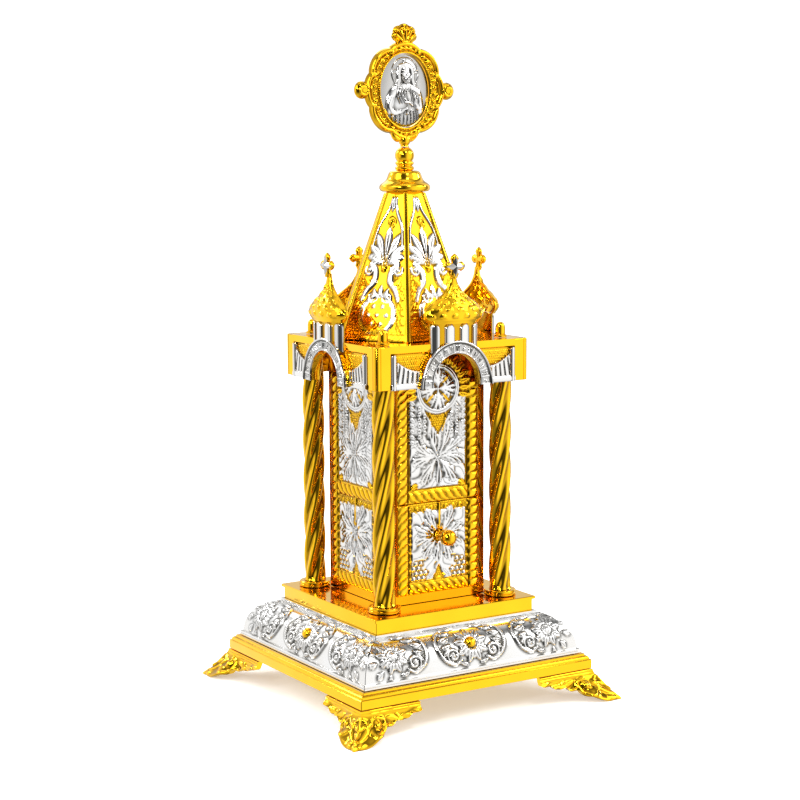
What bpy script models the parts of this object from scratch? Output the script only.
"""An altar tabernacle in gilt and silvered brass, as solids, in metres, +Z up.

The front, with the drawer, faces -Y. The origin is on the ground under the middle of the four feet.
Every size that can be set by itself is named below; the rest is worked out from those.
"""
from math import atan2, cos, exp, hypot, pi, sin, sqrt

import bmesh
import bpy
from mathutils import Matrix, Vector

GAP = 0.0003  # left between pieces that touch
SINK = 0.0004  # how deep carving is rooted in what carries it
OVERLAP = 0.0001  # between the parts of one casting, so that they fuse

# Base
FOOT_HEIGHT = 0.0165
FOOT_WING = 0.036  # each wing, along the plate's edge from its corner
FOOT_REACH = 0.0115  # the claw beyond the plate, on each axis
FOOT_METAL = 0.0034
FOOT_FLANGE = 0.0022
FOOT_PROUD = 0.0006  # the flange beyond the plate's edge
FOOT_LOBE = 0.0011  # the scallops of the wings
PLATE_SIDE = 0.150
PLATE_EDGE = 0.0062
PLATE_STEP_RISE = 0.0021
PLATE_STEP_IN = 0.0040
FRIEZE_SIDE = 0.1408
FRIEZE_FILLET = 0.0024  # the upright band at the foot of the frieze
FRIEZE_RISE = 0.0231
FRIEZE_NECK = 0.0016  # the band at the frieze's top
FRIEZE_RELIEF = 0.0012
FRIEZE_LEDGE = 0.0015  # from the foot's band in to the ovolo, and from its top to the plinth
SCROLL_RADIUS = 0.0070
SCROLL_WIDTH = 0.0026
STUD_RADIUS = 0.0030
DAISY_RADIUS = 0.0092
PLINTH_SIDE = 0.1022
PLINTH_BAND = 0.0066  # shows above the frieze
PLINTH_LIP = 0.0013
PLINTH_LIP_RISE = 0.0016

# Columns
COLUMN_SPREAD = 0.0380  # from the middle, on each axis
COLUMN_RADIUS = 0.0062
COLUMN_HEIGHT = 0.1396
COLUMN_STRANDS = 5
COLUMN_GROOVE = 0.0011
COLUMN_PITCH = 0.112  # one full turn of a strand
DISC_RADIUS = 0.0090
DISC_RISE = 0.0030
NUT_RADIUS = 0.0036
NUT_RISE = 0.0082

# Cella and drawer
CELLA_SIDE = 0.0630
SHEET = 0.0010
PANEL_METAL = 0.0008
PANEL_WIDTH = 0.0534
PANEL_FOOT = 0.0052  # plain band of the cella below the panels
PANEL_TOP = 0.0022  # left between the panels' arch and the cella's top
ROPE_WIDTH = 0.0056
ROPE_RISE = 0.0014
PANEL_RELIEF = 0.0015
ROUNDEL_RADIUS = 0.0140
ROUNDEL_DROP = 0.0246  # its middle below the cella's top
ROUNDEL_RIM = 0.0024
RAY = 0.0056  # the sunburst's leaves
LILY_RADIUS = 0.0170
GRAPE_RADIUS = 0.0024
DRAWER_FRONT_HEIGHT = 0.0503
DRAWER_FRONT_METAL = 0.0014
DRAWER_DEPTH = 0.0500
DRAWER_BORDER = 0.0020  # the front laps the opening by this
DRAWER_PLAY = 0.0004
DRAWER_HEAD = 0.0060  # the box is lower than its front by this
KNOB_HEIGHT = 0.0371  # above the cella's foot
KNOB_RADIUS = 0.0040
KNOB_STEM = 0.0016
KNOB_REACH = 0.0105  # from the drawer's front to the ball's middle
ROSETTE_RADIUS = 0.0034

# Canopy
ROOF_SIDE = 0.0982
ROOF_METAL = 0.0015
SKIRT_DROP = 0.0232
SKIRT_METAL = 0.0022
BLOCK_WIDTH = 0.0070  # plain block at each end of a facade
BLOCK_ROUND = 0.0024
ARCH_RADIUS = 0.0150
ARCH_BAND = 0.0062
ARCH_PROUD = 0.0042
ARCH_FOOT = 0.0038  # upright stretch below the arch's spring
WING_STRIP = 0.0034
WING_PROUD = 0.0012
DRUM_WIDTH = 0.0300
DRUM_DEPTH = 0.0070
DRUM_TOP = 0.0108  # above the roof
DOME_WIDTH = 0.0384
DOME_DEPTH = 0.0092
DOME_HEIGHT = 0.0250
DOME_METAL = 0.0018
CROSS_RADIUS = 0.0062
CROSS_METAL = 0.0024

# Spire and medallion
SPIRE_RADIUS = 0.0427
SPIRE_TOP_RADIUS = 0.0117
SPIRE_HEIGHT = 0.0793
RIB_WIDTH = 0.0026
RIB_PROUD = 0.0009
SPIRE_RELIEF = 0.0010
CAP_RADIUS = 0.0141
CAP_HEIGHT = 0.0115
STEM_RADIUS = 0.0052
STEM_HEIGHT = 0.0125
MEDALLION_WIDTH = 0.0480
MEDALLION_HEIGHT = 0.0540
MEDALLION_DEPTH = 0.0044
OVAL_WIDTH = 0.0292
OVAL_HEIGHT = 0.0396
OVAL_METAL = 0.0012
FIGURE_RISE = 0.0024
EAR_RADIUS = 0.0048
CREST_HEIGHT = 0.0092
CREST_WIDTH = 0.0168
PENDANT_RADIUS = 0.0034
BEAD_RING = 0.0033  # from the oval's edge to the ring of beads
BEAD_RISE = 0.0010
BEADS = 13

# Facets, in numbers
LATHE_SIDES = 10
ARCH_STEPS = 8
COLUMN_STEPS = 8
OVOLO_STEPS = 4
FOOT_STEPS = 5
FOOT_ROWS = 3
SUNBURST = 5
ROPE_NOTCHES = 3

# Heights worked out from the sizes above
Z_PLATE = FOOT_HEIGHT + GAP
Z_PLATE_TOP = Z_PLATE + PLATE_EDGE + PLATE_STEP_RISE
Z_FRIEZE = Z_PLATE_TOP + GAP
Z_FRIEZE_TOP = Z_FRIEZE + FRIEZE_RISE
Z_PLINTH_TOP = Z_FRIEZE_TOP + PLINTH_BAND + PLINTH_LIP_RISE
Z_DISC = Z_PLINTH_TOP + GAP
Z_COLUMN = Z_DISC + DISC_RISE + GAP
Z_ROOF = Z_COLUMN + COLUMN_HEIGHT + GAP
Z_ROOF_TOP = Z_ROOF + ROOF_METAL
Z_SKIRT = Z_ROOF_TOP - SKIRT_DROP
Z_SPIRE = Z_ROOF_TOP + GAP
Z_CAP = Z_SPIRE + SPIRE_HEIGHT + GAP
Z_STEM = Z_CAP + CAP_HEIGHT + GAP
Z_PENDANT = Z_STEM + STEM_HEIGHT + GAP
Z_MEDALLION = Z_PENDANT + PENDANT_RADIUS + MEDALLION_HEIGHT / 2
Z_CELLA = Z_PLINTH_TOP + GAP
Z_CELLA_TOP = Z_ROOF - GAP
Z_PANEL = Z_CELLA + PANEL_FOOT
Z_DRAWER_TOP = Z_PANEL + DRAWER_FRONT_HEIGHT

GOLD = (0.92, 0.62, 0.12)
SILVER = (0.86, 0.87, 0.88)
SIDES = ("front", "right", "back", "left")
CORNERS = ("front_right", "back_right", "back_left", "front_left")


# Helpers

def clear_scene():
    for item in list(bpy.data.objects):
        bpy.data.objects.remove(item, do_unlink=True)


def metal(name, colour):
    """The piece's own polished metal."""
    material = bpy.data.materials.new(name + "_metal")
    material.use_nodes = True
    shader = material.node_tree.nodes["Principled BSDF"]
    shader.inputs["Base Color"].default_value = (*colour, 1.0)
    shader.inputs["Metallic"].default_value = 1.0
    shader.inputs["Roughness"].default_value = 0.18
    return material


def add_object(name, mesh, colour, turn=0.0, place=(0.0, 0.0, 0.0)):
    item = bpy.data.objects.new(name, mesh)
    mesh.materials.clear()
    mesh.materials.append(metal(name, colour))
    item.rotation_euler.z = turn
    item.location = place
    bpy.context.collection.objects.link(item)
    return item


def mesh_from(bm, name):
    """The bmesh as a closed mesh that faces out, with its sharp edges marked."""
    bmesh.ops.recalc_face_normals(bm, faces=bm.faces)
    mesh = bpy.data.meshes.new(name)
    bm.to_mesh(mesh)
    bm.free()
    mesh.shade_smooth()
    mesh.set_sharp_from_angle(angle=pi / 6)
    return mesh


def fused(name, core, carving):
    """One closed body from a core and the bodies that are rooted in it."""
    core_object = bpy.data.objects.new(name + "_core", mesh_from(core, name + "_core"))
    cut_object = bpy.data.objects.new(name + "_carving", mesh_from(carving, name + "_carving"))
    for item in (core_object, cut_object):
        bpy.context.collection.objects.link(item)
    union = core_object.modifiers.new("union", "BOOLEAN")
    union.operation = "UNION"
    union.solver = "EXACT"
    union.use_self = True
    union.object = cut_object
    graph = bpy.context.evaluated_depsgraph_get()
    mesh = bpy.data.meshes.new_from_object(core_object.evaluated_get(graph))
    mesh.name = name
    bpy.data.objects.remove(core_object, do_unlink=True)
    bpy.data.objects.remove(cut_object, do_unlink=True)
    return mesh


def skin(bm, rings):
    """Skins equally long closed rings one after another and caps both ends."""
    rows = [[bm.verts.new(point) for point in ring] for ring in rings]
    count = len(rows[0])
    for low, high in zip(rows, rows[1:]):
        for i in range(count):
            j = (i + 1) % count
            bm.faces.new((low[i], low[j], high[j], high[i]))
    bm.faces.new(list(reversed(rows[0])))
    bm.faces.new(rows[-1])


def slab(bm, outline, low, high):
    """An outline in X and Y, made solid between two heights."""
    skin(bm, [[(x, y, z) for x, y in outline] for z in (low, high)])


def upright(bm, outline, front, back):
    """An outline in X and Z, made solid between two depths in Y."""
    skin(bm, [[(x, y, z) for x, z in outline] for y in (front, back)])


def block(bm, low, high):
    outline = [(low[0], low[1]), (high[0], low[1]), (high[0], high[1]), (low[0], high[1])]
    slab(bm, outline, low[2], high[2])


def lathe(bm, profile, sides=LATHE_SIDES, chart=None):
    """A turned body about +Z from (radius, height) points, or about a chart's normal."""
    rings = []
    for radius, height in profile:
        ring = arc(radius, 0, 2 * pi * (sides - 1) / sides, sides - 1)
        rings.append([chart(u, v, height) if chart else (u, v, height) for u, v in ring])
    skin(bm, rings)


def square_ring(half):
    return [(-half, -half), (half, -half), (half, half), (-half, half)]


def arc(radius, start, end, steps, centre=(0.0, 0.0)):
    points = []
    for i in range(steps + 1):
        angle = start + (end - start) * i / steps
        points.append((centre[0] + radius * cos(angle), centre[1] + radius * sin(angle)))
    return points


# Carving. A chart maps (across, up, out) on a surface to a point in space.

def face_chart(distance, middle_z, lean=0.0):
    """A flat surface facing -Y at a distance from the axis, leaning back by an angle."""
    def place(u, v, h):
        out = distance + h * cos(lean) - v * sin(lean)
        return (u, -out, middle_z + v * cos(lean) + h * sin(lean))
    return place


def mound(bm, chart, outline, crest, rise):
    """A faceted swelling: an outline on the surface that rises to a crest point."""
    spread = (rise + SINK) / rise
    low = []
    for u, v in outline:
        wide_u = crest[0] + (u - crest[0]) * spread
        wide_v = crest[1] + (v - crest[1]) * spread
        low.append(bm.verts.new(chart(wide_u, wide_v, -SINK)))
    top = bm.verts.new(chart(crest[0], crest[1], rise))
    for i, vert in enumerate(low):
        bm.faces.new((vert, low[(i + 1) % len(low)], top))
    bm.faces.new(list(reversed(low)))


def leaf(bm, chart, root, tip, width, rise, broad=0.45):
    """A four-sided leaf from root to tip, highest and widest at a share of its length."""
    du, dv = tip[0] - root[0], tip[1] - root[1]
    length = hypot(du, dv)
    mu, mv = root[0] + du * broad, root[1] + dv * broad
    nu, nv = -dv / length * width / 2, du / length * width / 2
    mound(bm, chart, [root, (mu + nu, mv + nv), tip, (mu - nu, mv - nv)], (mu, mv), rise)


def flower(bm, chart, centre, inner, outer, petals, rise, turn=0.0):
    width = 2 * pi * (inner + outer) / 2 / petals * 0.84
    for i in range(petals):
        angle = turn + 2 * pi * i / petals
        root = (centre[0] + inner * cos(angle), centre[1] + inner * sin(angle))
        tip = (centre[0] + outer * cos(angle), centre[1] + outer * sin(angle))
        leaf(bm, chart, root, tip, width, rise, 0.55)


def grape(bm, chart, centre, radius, rise):
    mound(bm, chart, arc(radius, 0, 2 * pi * 5 / 6, 5, centre), centre, rise)


def band(bm, chart, path, width, rise, closed=False):
    """A ridge along a path on the surface, with a crest between two sloping sides."""
    spread = (rise + SINK) / rise
    count = len(path)
    rows = []
    for i, (u, v) in enumerate(path):
        before = path[i - 1] if closed or i else path[i]
        after = path[(i + 1) % count] if closed or i < count - 1 else path[i]
        du, dv = after[0] - before[0], after[1] - before[1]
        length = hypot(du, dv)
        nu, nv = -dv / length * width / 2 * spread, du / length * width / 2 * spread
        rows.append([bm.verts.new(p) for p in (
            chart(u + nu, v + nv, -SINK), chart(u - nu, v - nv, -SINK), chart(u, v, rise))])
    pairs = list(zip(rows, rows[1:]))
    if closed:
        pairs.append((rows[-1], rows[0]))
    for low, high in pairs:
        for i in range(3):
            j = (i + 1) % 3
            bm.faces.new((low[i], low[j], high[j], high[i]))
    if not closed:
        bm.faces.new(list(reversed(rows[0])))
        bm.faces.new(rows[-1])


def spiral(centre, start_radius, end_radius, start, turn, steps):
    """Points of a scroll about a centre, from one radius to another."""
    points = []
    for i in range(steps + 1):
        share = i / steps
        radius = start_radius + (end_radius - start_radius) * share
        angle = start + turn * share
        points.append((centre[0] + radius * cos(angle), centre[1] + radius * sin(angle)))
    return points


# Base

def foot_mesh():
    """The foot under the corner at +X +Y: a flange along both edges and a leafy claw."""
    steps, rows = FOOT_STEPS, FOOT_ROWS
    corner = PLATE_SIDE / 2
    reach = FOOT_REACH * sqrt(2)
    proud = FOOT_PROUD
    thin_end = FOOT_FLANGE * 1.35
    outer, inner = [], []
    for i in range(-steps, steps + 1):
        share = i / steps
        spot = abs(share) ** 1.3
        along = spot * FOOT_WING
        blend = max(0.0, 1 - spot / 0.30)
        edge_angle = pi / 2 if share > 0 else 0.0
        angle = edge_angle + (pi / 4 - edge_angle) * blend
        base = Vector((corner - along, corner, 0)) if share > 0 else Vector((corner, corner - along, 0))
        normal = Vector((cos(angle), sin(angle), 0))
        swell = exp(-((spot / 0.24) ** 2))
        lobe = FOOT_LOBE * cos(4 * pi * spot) * (1 - spot)
        drop = thin_end + (FOOT_HEIGHT - thin_end) * (0.45 * swell + 0.55 * (1 - spot) ** 1.6)
        if abs(i) < 2:
            drop = FOOT_HEIGHT
        out = reach * swell + lobe + proud
        front = [base + normal * proud, base + normal * proud + Vector((0, 0, -FOOT_FLANGE * 0.8))]
        for j in range(rows + 1):
            share_down = j / rows
            sweep = -proud + (out + proud) * share_down ** 1.4
            point = base + normal * sweep
            point.z = -FOOT_FLANGE - (drop - FOOT_FLANGE) * share_down ** 0.9
            front.append(point)
        back = []
        for point in front:
            behind = point - normal * FOOT_METAL
            behind.z = point.z
            back.append(behind)
        outer.append(front)
        inner.append(back)
    bm = bmesh.new()
    skin(bm, [front + list(reversed(back)) for front, back in zip(outer, inner)])
    bmesh.ops.translate(bm, vec=(0, 0, FOOT_HEIGHT), verts=bm.verts)
    return mesh_from(bm, "foot")


def make_feet():
    for i, corner in enumerate(CORNERS):
        add_object("foot_" + corner, foot_mesh(), GOLD, turn=(i - 1) * pi / 2)


def make_base_plate():
    bm = bmesh.new()
    half = PLATE_SIDE / 2
    upper = Z_PLATE + PLATE_EDGE
    rings = [(half, Z_PLATE), (half, upper), (half - PLATE_STEP_IN * 0.35, upper + PLATE_STEP_RISE * 0.45),
             (half - PLATE_STEP_IN * 0.6, upper + PLATE_STEP_RISE * 0.5),
             (half - PLATE_STEP_IN, Z_PLATE_TOP)]
    skin(bm, [[(x, y, z) for x, y in square_ring(size)] for size, z in rings])
    add_object("base_plate", mesh_from(bm, "base_plate"), GOLD)


def frieze_profile():
    """The cove strip's outer line, from its foot up, as (distance from the axis, height)."""
    half = FRIEZE_SIDE / 2
    neck = PLINTH_SIDE / 2 + GAP + FRIEZE_LEDGE
    foot = Z_FRIEZE + FRIEZE_FILLET
    spring = foot + FRIEZE_LEDGE / 4
    top = Z_FRIEZE_TOP - FRIEZE_NECK
    shoulder = half - FRIEZE_LEDGE
    points = [(half, Z_FRIEZE), (half, foot), (shoulder, spring)]
    for i in range(1, OVOLO_STEPS + 1):
        angle = pi / 2 * i / OVOLO_STEPS
        points.append((neck + (shoulder - neck) * cos(angle), spring + (top - spring) * sin(angle)))
    points.append((neck, Z_FRIEZE_TOP))
    return points


def frieze_chart():
    """Maps (along the side, up the curve, out) on the frieze's ovolo."""
    curve = [Vector((out, z)) for out, z in frieze_profile()[2:-1]]
    lengths = [(b - a).length for a, b in zip(curve, curve[1:])]
    total = sum(lengths)

    def place(u, v, h):
        run = v + total / 2
        k = 0
        while k < len(lengths) - 1 and run > lengths[k]:
            run -= lengths[k]
            k += 1
        way = (curve[k + 1] - curve[k]) / lengths[k]
        spot = curve[k] + way * run
        normal = Vector((way.y, -way.x))
        spot = spot + normal * h
        return (u, -spot.x, spot.y)
    return place, total


def frieze_mesh(side):
    """One mitred strip, with a middle daisy, an end flower at each corner and scrolls between."""
    inner = PLINTH_SIDE / 2 + GAP
    section = frieze_profile() + [(inner, Z_FRIEZE_TOP), (inner, Z_FRIEZE)]
    core = bmesh.new()
    seam = GAP / sqrt(2)
    skin(core, [[(end * (out - seam), -out, z) for out, z in section] for end in (-1, 1)])
    chart, span = frieze_chart()
    carving = bmesh.new()
    rise = FRIEZE_RELIEF
    petals = 8
    # A leaf spreads at its foot by as much as it sinks, so the petals start clear of the stud.
    clear = STUD_RADIUS + 4 * GAP
    flower(carving, chart, (0, 0), clear, DAISY_RADIUS, petals, rise, pi / petals)
    radius = SCROLL_RADIUS
    for end in (-1, 1):
        place = FRIEZE_SIDE * 0.375 * end
        flower(carving, chart, (place, -span * 0.035), GAP * 2, DAISY_RADIUS * 0.78, 5, rise, pi / 2)
        if side != "back":
            near = (FRIEZE_SIDE * 0.146 * end, span * 0.04)
            far = (FRIEZE_SIDE * 0.257 * end, -span * 0.035)
            for middle, way, turn in ((near, -end, 1.3), (far, end, 1.2)):
                start = pi / 2 + way * pi / 2
                path = spiral(middle, radius, radius * 0.47, start, end * turn * pi, 3)
                band(carving, chart, path, SCROLL_WIDTH, rise)
        for up in (0.25, -0.27):
            root = (FRIEZE_SIDE * 0.194 * end, span * up)
            tip = (FRIEZE_SIDE * 0.245 * end, span * up * 1.35)
            leaf(carving, chart, root, tip, SCROLL_WIDTH * 1.6, rise)
    return fused("frieze", core, carving)


def make_friezes():
    for i, side in enumerate(SIDES):
        add_object("frieze_" + side, frieze_mesh(side), SILVER, turn=i * pi / 2)


def make_studs():
    """A button on the middle of each ovolo, its flat foot on the curve's tangent."""
    curve, _ = frieze_chart()
    middle = Vector(curve(0, 0, 0))
    above = Vector(curve(0, GAP, 0))
    below = Vector(curve(0, -GAP, 0))
    up = (above - below).normalized()
    out = Vector((1, 0, 0)).cross(up)
    radius = STUD_RADIUS

    def chart(u, v, h):
        return tuple(middle + Vector((u, 0, 0)) + up * v + out * h)
    for i, side in enumerate(SIDES):
        bm = bmesh.new()
        lathe(bm, [(radius, GAP), (radius * 0.86, radius * 0.6), (radius * 0.35, radius * 0.9)], 8, chart)
        add_object("frieze_stud_" + side, mesh_from(bm, "stud"), GOLD, turn=i * pi / 2)


def make_plinth():
    bm = bmesh.new()
    half = PLINTH_SIDE / 2
    lip = Z_PLINTH_TOP - PLINTH_LIP_RISE
    wide = half + PLINTH_LIP
    rings = [(half, Z_FRIEZE), (half, lip), (wide, lip + PLINTH_LIP * 0.15), (wide, Z_PLINTH_TOP)]
    skin(bm, [[(x, y, z) for x, y in square_ring(size)] for size, z in rings])
    add_object("upper_plinth", mesh_from(bm, "upper_plinth"), GOLD)


# Columns

def column_mesh():
    bm = bmesh.new()
    count = COLUMN_STRANDS * 2
    rings = []
    for i in range(COLUMN_STEPS + 1):
        z = COLUMN_HEIGHT * i / COLUMN_STEPS
        turn = 2 * pi * z / COLUMN_PITCH
        ring = []
        for j in range(count):
            radius = COLUMN_RADIUS - (COLUMN_GROOVE if j % 2 else 0.0)
            angle = turn + 2 * pi * j / count
            ring.append((radius * cos(angle), radius * sin(angle), z))
        rings.append(ring)
    skin(bm, rings)
    return mesh_from(bm, "column")


def disc_mesh():
    bm = bmesh.new()
    r, h = DISC_RADIUS, DISC_RISE
    lathe(bm, [(r, 0), (r, h * 0.4), (r * 0.93, h * 0.55), (r * 0.95, h)])
    return mesh_from(bm, "column_disc")


def nut_mesh():
    bm = bmesh.new()
    r, h = NUT_RADIUS, NUT_RISE
    lathe(bm, [(r, 0), (r * 0.96, h * 0.16), (r * 0.72, h * 0.22), (r * 0.8, h * 0.54), (r * 0.2, h)], 8)
    return mesh_from(bm, "column_nut")


def make_columns():
    for i, corner in enumerate(CORNERS):
        angle = -pi / 4 + i * pi / 2
        x = COLUMN_SPREAD * (1 if cos(angle) > 0 else -1)
        y = COLUMN_SPREAD * (1 if sin(angle) > 0 else -1)
        add_object("column_disc_" + corner, disc_mesh(), GOLD, place=(x, y, Z_DISC))
        add_object("column_" + corner, column_mesh(), GOLD, place=(x, y, Z_COLUMN))
        add_object("column_nut_" + corner, nut_mesh(), GOLD, place=(x, y, Z_ROOF_TOP + GAP))


# Cella, panels and drawer

def drawer_opening():
    """The hole in the cella's front, as low and high corners in X and Z."""
    half = PANEL_WIDTH / 2 - DRAWER_BORDER
    low = Z_PANEL + DRAWER_BORDER / 2
    return -half, low, half, Z_DRAWER_TOP - DRAWER_HEAD


def make_cella():
    """Four walls and the drawer's floor in one, open below and above, with the drawer's hole."""
    half = CELLA_SIDE / 2
    inner = half - SHEET
    left, low, right, high = drawer_opening()
    core = bmesh.new()
    outline = [(-half, -half), (left, -half), (left, -inner), (-inner, -inner),
               (-inner, inner), (inner, inner), (inner, -inner), (right, -inner),
               (right, -half), (half, -half), (half, half), (-half, half)]
    slab(core, outline, low, high)
    carving = bmesh.new()
    ring = square_ring(half)
    hole = square_ring(inner)
    for bottom, top in ((Z_CELLA, low + OVERLAP), (high - OVERLAP, Z_CELLA_TOP)):
        rows = []
        for z, points in ((bottom, ring), (top, ring), (top, hole), (bottom, hole)):
            rows.append([carving.verts.new((x, y, z)) for x, y in points])
        for a, b in zip(rows, rows[1:] + rows[:1]):
            for i in range(4):
                j = (i + 1) % 4
                carving.faces.new((a[i], a[j], b[j], b[i]))
    lap = SHEET / 2
    block(carving, (-half + lap, -half + lap, low - SHEET), (half - lap, half - lap, low))
    add_object("cella", fused("cella", core, carving), GOLD)


def rope_line(bm, chart, start, end, notches=0):
    """A rope border: a ridge, notched crosswise where it is close to the eye."""
    if not notches:
        band(bm, chart, [start, end], ROPE_WIDTH * 0.8, ROPE_RISE)
    run, climb = end[0] - start[0], end[1] - start[1]
    slant = ROPE_WIDTH * 0.18
    for i in range(notches):
        a, b = (i + 0.04) / notches, (i + 0.96) / notches
        root = (start[0] + run * a, start[1] + climb * a - slant)
        tip = (start[0] + run * b, start[1] + climb * b + slant)
        leaf(bm, chart, root, tip, ROPE_WIDTH * 0.8, ROPE_RISE, 0.5)


def spray(bm, chart, centre, size, leaves, rise):
    """A lily seen from the front: long leaves all round a middle."""
    for i in range(leaves):
        angle = pi / 2 + 2 * pi * i / leaves
        length = size * (1.0 if i % 2 == 0 else 0.78)
        tip = (centre[0] + length * cos(angle) * 0.86, centre[1] + length * sin(angle))
        root = (centre[0] + size * 0.07 * cos(angle), centre[1] + size * 0.07 * sin(angle))
        leaf(bm, chart, root, tip, size * 0.46, rise, 0.6)


def upper_carving(bm, chart, bottom, roundel_z, plain):
    """The roundel with its cross flower, the sunburst over it, grapes and the lily."""
    ring = arc(ROUNDEL_RADIUS - ROUNDEL_RIM / 2, 0, 2 * pi * 7 / 8, 7, (0, roundel_z))
    band(bm, chart, ring, ROUNDEL_RIM, PANEL_RELIEF, closed=True)
    flower(bm, chart, (0, roundel_z), ROUNDEL_RIM / 3, ROUNDEL_RADIUS * 0.72, 6, PANEL_RELIEF, pi / 2)
    burst = ROUNDEL_RADIUS + ROUNDEL_RIM * 0.67
    for i in range(SUNBURST):
        angle = pi * (i + 0.5) / SUNBURST
        root = (burst * cos(angle), roundel_z + burst * sin(angle))
        tip = ((burst + RAY) * cos(angle), roundel_z + (burst + RAY) * sin(angle))
        leaf(bm, chart, root, tip, RAY * 1.4, ROPE_RISE * 0.7, 0.4)
    middle = bottom + (roundel_z - ROUNDEL_RADIUS - bottom) * 0.44
    spray(bm, chart, (0, middle), LILY_RADIUS, 6, PANEL_RELIEF)
    for end in (-1, 1):
        for i in range(0 if plain else 2):
            across = PANEL_WIDTH * (0.285 - 0.023 * i)
            up = roundel_z - ROUNDEL_RADIUS - GRAPE_RADIUS * (0.2 + 2 * i)
            grape(bm, chart, (end * across, up), GRAPE_RADIUS, PANEL_RELIEF)


def lower_carving(bm, chart, low, high, plain):
    """The lower spray with grapes in the bottom corners."""
    middle = low + (high - low) * 0.54
    spray(bm, chart, (0, middle), (high - low) * 0.44, 6, PANEL_RELIEF)
    if not plain:
        for end in (-1, 1):
            place = (end * PANEL_WIDTH * 0.27, low + GRAPE_RADIUS * 1.7)
            grape(bm, chart, place, GRAPE_RADIUS, PANEL_RELIEF)


def panel_outline(bottom, roundel_z):
    """A sheet with an arched head, as (across, up)."""
    half = PANEL_WIDTH / 2
    head = Z_CELLA_TOP - PANEL_TOP
    radius = min(half, head - roundel_z)
    arch = []
    for i in range(ARCH_STEPS + 1):
        angle = pi * i / ARCH_STEPS
        arch.append((half * cos(angle), roundel_z + radius * sin(angle)))
    return [(-half, bottom), (half, bottom)] + arch


def panel_mesh(side):
    """One embossed sheet; the front one starts above the drawer."""
    front = side == "front"
    plain = side == "back"
    bottom = Z_DRAWER_TOP + GAP if front else Z_PANEL
    roundel_z = Z_CELLA_TOP - ROUNDEL_DROP
    outside = CELLA_SIDE / 2 + GAP + PANEL_METAL
    core = bmesh.new()
    upright(core, panel_outline(bottom, roundel_z), -outside, -(outside - PANEL_METAL))
    chart = face_chart(outside, 0.0)
    carving = bmesh.new()
    edge = PANEL_WIDTH / 2 - ROPE_WIDTH / 2
    rope_in = edge - ROPE_WIDTH / 2
    bar = Z_DRAWER_TOP + ROPE_WIDTH * 0.7
    low_rope = bottom + ROPE_WIDTH * 0.6
    for end in (-1, 1):
        start = (end * edge, bottom + 2 * GAP)
        rope_line(carving, chart, start, (end * edge, roundel_z + ROPE_WIDTH * 0.7))
    rope_line(carving, chart, (-rope_in, bar), (rope_in, bar), 0 if plain else ROPE_NOTCHES)
    upper_carving(carving, chart, bar + ROPE_WIDTH / 2, roundel_z, plain)
    if not front:
        rope_line(carving, chart, (-rope_in, low_rope), (rope_in, low_rope))
        lower_carving(carving, chart, low_rope + ROPE_WIDTH / 2, bar - ROPE_WIDTH / 2, plain)
    return fused("panel", core, carving)


def make_panels():
    for i, side in enumerate(SIDES):
        add_object("panel_" + side, panel_mesh(side), GOLD, turn=i * pi / 2)


def make_drawer():
    """A tray of folded sheet behind an embossed front, with a turned knob."""
    outside = CELLA_SIDE / 2 + GAP
    front = outside + DRAWER_FRONT_METAL
    left, low, right, high = drawer_opening()
    left, right = left + DRAWER_PLAY, right - DRAWER_PLAY
    low, high = low + DRAWER_PLAY, high - DRAWER_PLAY
    near = -(outside - GAP)
    far = near + DRAWER_DEPTH
    bm = bmesh.new()
    outer = (left, near, right, far)
    inner = (left + SHEET, near + SHEET, right - SHEET, far - SHEET)
    loops = ((outer, low), (outer, high), (inner, high), (inner, low + SHEET))
    skin(bm, [[(x0, y0, z), (x1, y0, z), (x1, y1, z), (x0, y1, z)] for (x0, y0, x1, y1), z in loops])
    add_object("drawer_box", mesh_from(bm, "drawer_box"), GOLD)
    make_drawer_front(outside, front)
    make_knob(front + GAP)


def make_drawer_front(back, front):
    half = PANEL_WIDTH / 2
    core = bmesh.new()
    block(core, (-half, -front, Z_PANEL), (half, -back, Z_DRAWER_TOP))
    chart = face_chart(front, 0.0)
    carving = bmesh.new()
    edge = half - ROPE_WIDTH / 2
    rope_in = edge - ROPE_WIDTH / 2
    low_rope = Z_PANEL + ROPE_WIDTH * 0.6
    for end in (-1, 1):
        rope_line(carving, chart, (end * edge, Z_PANEL + 2 * GAP), (end * edge, Z_DRAWER_TOP - 2 * GAP))
    rope_line(carving, chart, (-rope_in, low_rope), (rope_in, low_rope), ROPE_NOTCHES)
    middle = Z_CELLA + KNOB_HEIGHT
    size = DRAWER_FRONT_HEIGHT * 0.40
    # As on the friezes, the leaves start clear of what sits in their middle.
    clear = ROSETTE_RADIUS + 4 * GAP
    for i in range(6):
        angle = pi / 6 + 2 * pi * i / 6
        root = (clear * cos(angle), middle + clear * sin(angle))
        tip = (size * cos(angle) * 0.86, middle + size * 0.84 * sin(angle))
        leaf(carving, chart, root, tip, size * 0.44, PANEL_RELIEF, 0.5)
    for end in (-1, 1):
        for i in range(2):
            across = PANEL_WIDTH * 0.29 - GRAPE_RADIUS * 2 * i
            place = (end * across, low_rope + ROPE_WIDTH)
            grape(carving, chart, place, GRAPE_RADIUS * 0.9, PANEL_RELIEF)
    add_object("drawer_front", fused("drawer_front", core, carving), GOLD)


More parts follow.
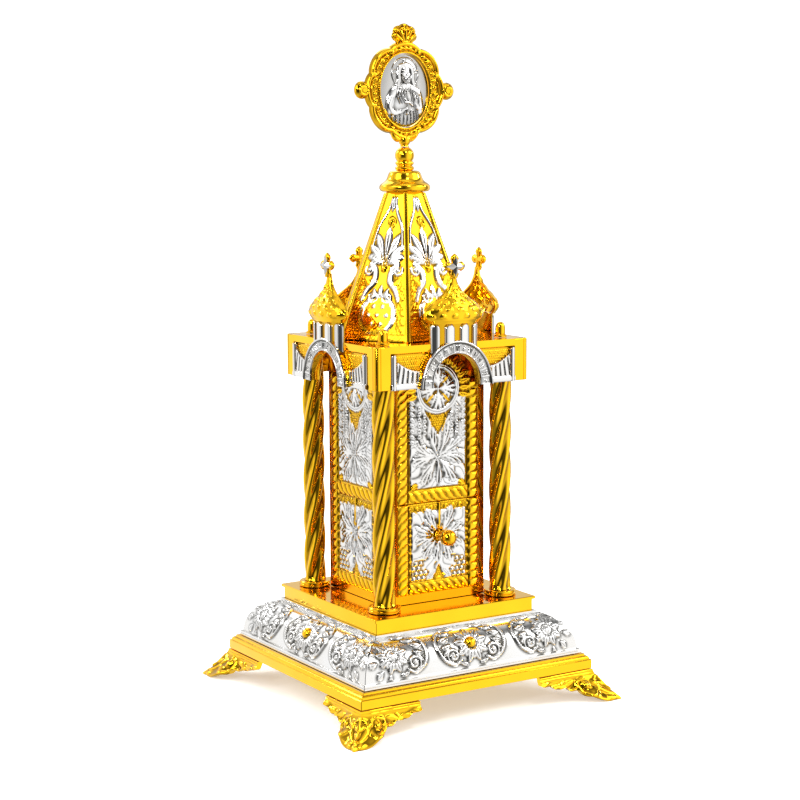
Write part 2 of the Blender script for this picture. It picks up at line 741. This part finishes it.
def make_knob(distance):
    bm = bmesh.new()
    r, ball = KNOB_RADIUS, KNOB_REACH
    rosette, rise = ROSETTE_RADIUS, ROSETTE_RADIUS * 0.77
    profile = [(rosette * 0.8, 0), (rosette, rise * 0.25), (rosette * 0.7, rise * 0.6),
               (KNOB_STEM, rise), (KNOB_STEM, ball - r * 0.92), (r * 0.72, ball - r * 0.7),
               (r, ball), (r * 0.72, ball + r * 0.7), (r * 0.25, ball + r * 0.97)]
    lathe(bm, profile, 8, face_chart(distance, Z_CELLA + KNOB_HEIGHT))
    add_object("drawer_knob", mesh_from(bm, "drawer_knob"), GOLD)


# Canopy

def make_roof():
    bm = bmesh.new()
    slab(bm, square_ring(ROOF_SIDE / 2 - SKIRT_METAL - GAP), Z_ROOF, Z_ROOF_TOP)
    add_object("canopy_plate", mesh_from(bm, "canopy_plate"), GOLD)


def crescent(width, depth, metal_thickness, base_y, z, steps=5, proud=0.0):
    """A half-round section, open behind where it is deep enough, as a ring of points."""
    ring = []
    for i in range(steps + 1):
        angle = pi * i / steps
        reach = depth + (proud if i % 2 else 0.0)
        ring.append((-width * cos(angle), base_y - reach * sin(angle), z))
    inner_width = max(width - metal_thickness, width * 0.4)
    inner_depth = max(depth - metal_thickness, depth * 0.3)
    for i in range(2, -1, -1):
        angle = pi * i / 2
        ring.append((-inner_width * cos(angle), base_y - inner_depth * sin(angle), z))
    return ring


def facade_mesh():
    """One casting for the -Y side: skirt, blocks, arch, wings, drum, dome and cross."""
    half = ROOF_SIDE / 2
    inner = half - SKIRT_METAL
    spring = Z_SKIRT + ARCH_FOOT
    seam = GAP / sqrt(2)
    block_in = half - BLOCK_WIDTH
    core = bmesh.new()
    hidden = ARCH_RADIUS + ARCH_BAND / 2
    opening = [(-hidden, Z_SKIRT)] + list(reversed(arc(hidden, 0, pi, 4, (0, spring)))) + [(hidden, Z_SKIRT)]
    wall_end = block_in + SKIRT_METAL / 2
    outline = [(-wall_end, Z_SKIRT)] + opening
    outline += [(wall_end, Z_SKIRT), (wall_end, Z_ROOF_TOP), (-wall_end, Z_ROOF_TOP)]
    upright(core, outline, -half + SKIRT_METAL * 0.32, -inner)

    carving = bmesh.new()
    for end in (-1, 1):
        corner = half - BLOCK_ROUND * 0.35
        points = [(block_in, -half), (half - BLOCK_ROUND, -half), (corner - seam, -corner),
                  (inner - seam, -inner), (block_in, -inner)]
        slab(carving, [(end * x, y) for x, y in points], Z_SKIRT - OVERLAP, Z_ROOF_TOP + OVERLAP)
    front = -half - ARCH_PROUD
    rim = ARCH_RADIUS + ARCH_BAND
    bore = ARCH_RADIUS
    ring = [(-rim, Z_SKIRT)] + list(reversed(arc(rim, 0, pi, ARCH_STEPS, (0, spring)))) + [(rim, Z_SKIRT)]
    ring += [(bore, Z_SKIRT)] + arc(bore, 0, pi, ARCH_STEPS, (0, spring))
    ring += [(-bore, Z_SKIRT)]
    upright(carving, ring, front, -inner)

    for end in (-1, 1):
        strip_in = block_in - WING_STRIP
        stations = ((block_in + GAP, Z_ROOF_TOP - SKIRT_DROP * 0.13, WING_PROUD),
                    (strip_in, Z_ROOF_TOP - SKIRT_DROP * 0.15, WING_PROUD),
                    (strip_in - WING_STRIP * 0.9, Z_ROOF_TOP - SKIRT_DROP * 0.39, WING_PROUD * 1.3),
                    (rim - ARCH_BAND / 3, spring + SKIRT_DROP * 0.22, ARCH_PROUD * 0.7))
        rings = []
        for x, top, proud in stations:
            corners = ((-half - proud, Z_SKIRT - OVERLAP), (-inner - GAP, Z_SKIRT - OVERLAP),
                       (-inner - GAP, top), (-half - proud, top))
            rings.append([(end * x, y, z) for y, z in corners])
        skin(carving, rings)

    drum_foot = spring + rim - ARCH_BAND / 2
    drum_head = Z_ROOF_TOP + DRUM_TOP
    base_y = -half + SKIRT_METAL / 2
    skin(carving, [crescent(DRUM_WIDTH / 2, DRUM_DEPTH, DOME_METAL, base_y, z, 8, DOME_METAL * 0.55)
                   for z in (drum_foot, drum_head + OVERLAP)])
    # The onion: (share of the height, share of the half width)
    onion = ((0.0, 0.88), (0.15, 1.0), (0.36, 0.86), (0.56, 0.55), (0.76, 0.27), (1.0, 0.10))
    rings = []
    for up, out in onion:
        rings.append(crescent(DOME_WIDTH / 2 * out, DOME_DEPTH * (0.25 + 0.75 * out), DOME_METAL, base_y,
                              drum_head + DOME_HEIGHT * up))
    skin(carving, rings)
    middle = drum_head + DOME_HEIGHT + CROSS_RADIUS * 0.85
    lobes = []
    for i in range(8):
        angle = 2 * pi * i / 8
        radius = CROSS_RADIUS * (0.5 if i % 2 else 1.0)
        lobes.append((radius * sin(angle), middle + radius * cos(angle)))
    upright(carving, lobes, base_y - CROSS_METAL, base_y)
    return fused("facade", core, carving)


def make_facades():
    mesh = facade_mesh()
    for i, side in enumerate(SIDES):
        add_object("facade_" + side, mesh.copy(), GOLD, turn=i * pi / 2)


# Spire and medallion

def make_spire():
    """A six-sided pyramid with ribs, and ornament on each face."""
    core = bmesh.new()
    rings = []
    for radius, z in ((SPIRE_RADIUS, 0.0), (SPIRE_TOP_RADIUS, SPIRE_HEIGHT)):
        rings.append([(radius * cos(pi / 3 * i), radius * sin(pi / 3 * i), Z_SPIRE + z) for i in range(6)])
    skin(core, rings)
    carving = bmesh.new()
    for i in range(6):
        turn = Matrix.Rotation(pi / 3 * i, 3, "Z")
        rings = []
        for radius, z in ((SPIRE_RADIUS, GAP), (SPIRE_TOP_RADIUS, SPIRE_HEIGHT - GAP)):
            outer, half = radius + RIB_PROUD, RIB_WIDTH / 2
            root, side = radius - RIB_WIDTH, radius + RIB_PROUD / 8
            section = ((root, -half), (side, -half), (outer, 0), (side, half), (root, half))
            rings.append([tuple(turn @ Vector((x, y, Z_SPIRE + z))) for x, y in section])
        skin(carving, rings)
    apothem = cos(pi / 6)
    lean = atan2((SPIRE_RADIUS - SPIRE_TOP_RADIUS) * apothem, SPIRE_HEIGHT)
    slant = SPIRE_HEIGHT / cos(lean)
    flat = face_chart(SPIRE_RADIUS * apothem, 0.0, lean)
    rise = SPIRE_RELIEF
    size = min(SPIRE_RADIUS, SPIRE_HEIGHT / 1.8)
    for i in range(6):
        turn = Matrix.Rotation(pi / 3 * i, 3, "Z")

        def chart(u, v, h, turn=turn):
            return tuple(turn @ (Vector(flat(u, v, h)) + Vector((0, 0, Z_SPIRE))))
        for j in range(3):
            angle = pi / 2 + (j - 1) * pi / 4
            reach = size * (0.35 if j == 1 else 0.235)
            root = (size * 0.042 * cos(angle), slant * 0.50 + size * 0.042 * sin(angle))
            tip = (reach * cos(angle), slant * 0.50 + reach * sin(angle))
            leaf(carving, chart, root, tip, size * 0.112, rise, 0.6)
        rosette = (0.0, slant * 0.165)
        for end in (-1, 1):
            scroll = [(end * size * 0.07, slant * 0.46), (end * size * 0.155, slant * 0.42),
                      (end * size * 0.20, slant * 0.30)]
            band(carving, chart, scroll, size * 0.066, rise)
            hoop = spiral(rosette, size * 0.234, size * 0.234, pi / 2 - end * 0.7, -end * 1.8, 2)
            band(carving, chart, hoop, size * 0.056, rise)
        mound(carving, chart, arc(size * 0.16, pi / 4, 7 * pi / 4, 3, rosette), rosette, rise * 1.4)
    add_object("spire", fused("spire", core, carving), GOLD)


def make_turned_finials():
    bm = bmesh.new()
    r, h = CAP_RADIUS, CAP_HEIGHT
    lathe(bm, [(r * 0.96, 0), (r, h * 0.12), (r * 0.85, h * 0.34), (r * 0.63, h * 0.6), (r * 0.58, h * 0.8),
               (r * 0.49, h)], 12)
    bmesh.ops.translate(bm, vec=(0, 0, Z_CAP), verts=bm.verts)
    add_object("spire_cap", mesh_from(bm, "spire_cap"), GOLD)
    bm = bmesh.new()
    r, h = STEM_RADIUS, STEM_HEIGHT
    lathe(bm, [(r * 0.8, 0), (r * 1.02, h * 0.1), (r * 0.8, h * 0.22), (r * 0.98, h * 0.33), (r * 0.82, h * 0.44),
               (r, h * 0.62), (r * 0.92, h * 0.84), (r * 0.45, h)], 10)
    bmesh.ops.translate(bm, vec=(0, 0, Z_STEM), verts=bm.verts)
    add_object("finial_stem", mesh_from(bm, "finial_stem"), GOLD)


def medallion_radius(angle):
    """The frame's scalloped outline about its middle."""
    a, b = MEDALLION_WIDTH / 2, MEDALLION_HEIGHT / 2
    plain = a * b / hypot(b * cos(angle), a * sin(angle))
    return plain * (1 - 0.035 + 0.035 * cos(8 * (angle - pi / 2)))


def oval(width, height, angle):
    return (width / 2 * cos(angle), height / 2 * sin(angle))


def make_medallion():
    """The scrolled frame with its beads, ears, crest and pendant, and the relief it holds."""
    count = BEADS * 2
    half = MEDALLION_DEPTH / 2
    core = bmesh.new()
    rows = []
    for i in range(count):
        angle = 2 * pi * i / count
        r = medallion_radius(angle)
        direction = Vector((cos(angle), 0, sin(angle)))
        middle = Vector((0, 0, Z_MEDALLION))
        lip_x, lip_z = oval(OVAL_WIDTH + 2 * GAP, OVAL_HEIGHT + 2 * GAP, angle)
        bead_x, bead_z = oval(OVAL_WIDTH + 2 * BEAD_RING, OVAL_HEIGHT + 2 * BEAD_RING, angle)
        lip = Vector((lip_x, 0, lip_z))
        bead = Vector((bead_x, 0, bead_z))
        bead_out = BEAD_RISE if i % 2 else 0.0
        rim = direction * r
        points = [middle + rim * 0.96 + Vector((0, half, 0)),
                  middle + rim + Vector((0, -half * 0.2, 0)),
                  middle + bead.lerp(rim, 0.5) + Vector((0, -half - BEAD_RISE * 0.4, 0)),
                  middle + bead + Vector((0, -half - bead_out, 0)),
                  middle + lip + Vector((0, -half + BEAD_RISE * 0.4, 0)),
                  middle + lip + Vector((0, half, 0))]
        rows.append([core.verts.new(p) for p in points])
    for i in range(count):
        a, b = rows[i], rows[(i + 1) % count]
        for j in range(6):
            k = (j + 1) % 6
            core.faces.new((a[j], a[k], b[k], b[j]))
    carving = bmesh.new()
    for end in (-1, 1):
        ear = face_chart(0.0, Z_MEDALLION)
        place = end * (MEDALLION_WIDTH / 2 + EAR_RADIUS * 0.68)

        def ear_chart(u, v, h, place=place):
            return ear(u + place, v, h)
        r = EAR_RADIUS
        lathe(carving, [(r * 0.8, -half * 0.8), (r, -half * 0.2), (r * 0.82, half * 0.7), (r * 0.25, half)],
              8, ear_chart)
    top = Z_MEDALLION + MEDALLION_HEIGHT / 2
    wide = CREST_WIDTH / 2
    foot = top - CREST_HEIGHT / 3
    crest = [(-wide, foot), (wide, foot), (wide * 0.98, top + CREST_HEIGHT * 0.25),
             (wide * 0.74, top + CREST_HEIGHT * 0.72), (wide * 0.30, top + CREST_HEIGHT),
             (-wide * 0.30, top + CREST_HEIGHT), (-wide * 0.74, top + CREST_HEIGHT * 0.72),
             (-wide * 0.98, top + CREST_HEIGHT * 0.25)]
    upright(carving, crest, -half + GAP * 1.7, half - GAP * 2)
    crest_chart = face_chart(half - GAP * 1.7, 0.0)
    for i in range(5):
        angle = pi / 2 + (i - 2) * pi / 5.5
        root = (CREST_HEIGHT * 0.17 * cos(angle), top + CREST_HEIGHT * 0.17 * sin(angle))
        tip = (CREST_HEIGHT * 0.92 * cos(angle), top + CREST_HEIGHT * 0.92 * sin(angle))
        leaf(carving, crest_chart, root, tip, CREST_HEIGHT * 0.3, BEAD_RISE * 1.2, 0.65)
    r = PENDANT_RADIUS
    pendant = Z_PENDANT + r
    ball = [(r * sin(pi * (i + 0.35) / 4.7), pendant - r * cos(pi * (i + 0.35) / 4.7)) for i in range(5)]
    lathe(carving, ball, 8)
    add_object("medallion_frame", fused("medallion_frame", core, carving), GOLD)
    make_relief(half)


def make_relief(half):
    """A bearded, haloed figure to the waist, one hand raised, the other holding a cup."""
    surface = OVAL_METAL * 2.15 - half
    core = bmesh.new()
    outline = [oval(OVAL_WIDTH, OVAL_HEIGHT, 2 * pi * i / 18) for i in range(18)]
    upright(core, [(x, Z_MEDALLION + z) for x, z in outline], -surface, -surface + OVAL_METAL)
    chart = face_chart(surface, Z_MEDALLION)
    carving = bmesh.new()
    height = OVAL_HEIGHT

    def spots(*pairs):
        """Places in the oval, given as shares of its height."""
        return [(u * height, v * height) for u, v in pairs]
    head = (0.0, height * 0.23)
    halo = arc(height * 0.165, 0, 2 * pi * 7 / 8, 7, head)
    band(carving, chart, halo, height * 0.03, FIGURE_RISE * 0.2, closed=True)
    head_low = []
    for i in range(8):
        angle = 2 * pi * i / 8
        head_low.append((height * 0.072 * cos(angle), head[1] + height * 0.100 * sin(angle)))
    mound(carving, chart, head_low, (head[0], head[1] - height * 0.010), FIGURE_RISE)
    for end in (-1, 1):
        top, bottom = spots((end * 0.02, 0.33), (end * 0.085, 0.11))
        leaf(carving, chart, top, bottom, height * 0.06, FIGURE_RISE * 0.6)
        shoulder = spots((-end * 0.015, 0.10), (end * 0.13, 0.06), (end * 0.20, -0.04), (end * 0.19, -0.22),
                         (end * 0.13, -0.34), (-end * 0.015, -0.39 - 0.006 * end), (end * 0.08, -0.08))
        mound(carving, chart, shoulder[:-1], shoulder[-1], FIGURE_RISE * 0.75)
        top, bottom = spots((end * 0.03, -0.14), (end * 0.05, -0.40))
        leaf(carving, chart, top, bottom, height * 0.05, FIGURE_RISE * 0.83)
    raised = spots((-0.17, -0.06), (-0.18, -0.16), (-0.08, -0.10), (-0.10, 0.00))
    band(carving, chart, raised, height * 0.076, FIGURE_RISE)
    holding = spots((0.18, -0.06), (0.17, -0.17), (0.05, -0.13))
    band(carving, chart, holding, height * 0.08, FIGURE_RISE)
    cup = spots((0.04, -0.06))[0]
    mound(carving, chart, arc(height * 0.045, 0, 2 * pi * 5 / 6, 5, cup), cup, FIGURE_RISE * 1.08)
    add_object("medallion_relief", fused("medallion_relief", core, carving), SILVER)


def main():
    clear_scene()
    make_feet()
    make_base_plate()
    make_friezes()
    make_studs()
    make_plinth()
    make_columns()
    make_cella()
    make_panels()
    make_drawer()
    make_roof()
    make_facades()
    make_spire()
    make_turned_finials()
    make_medallion()


main()
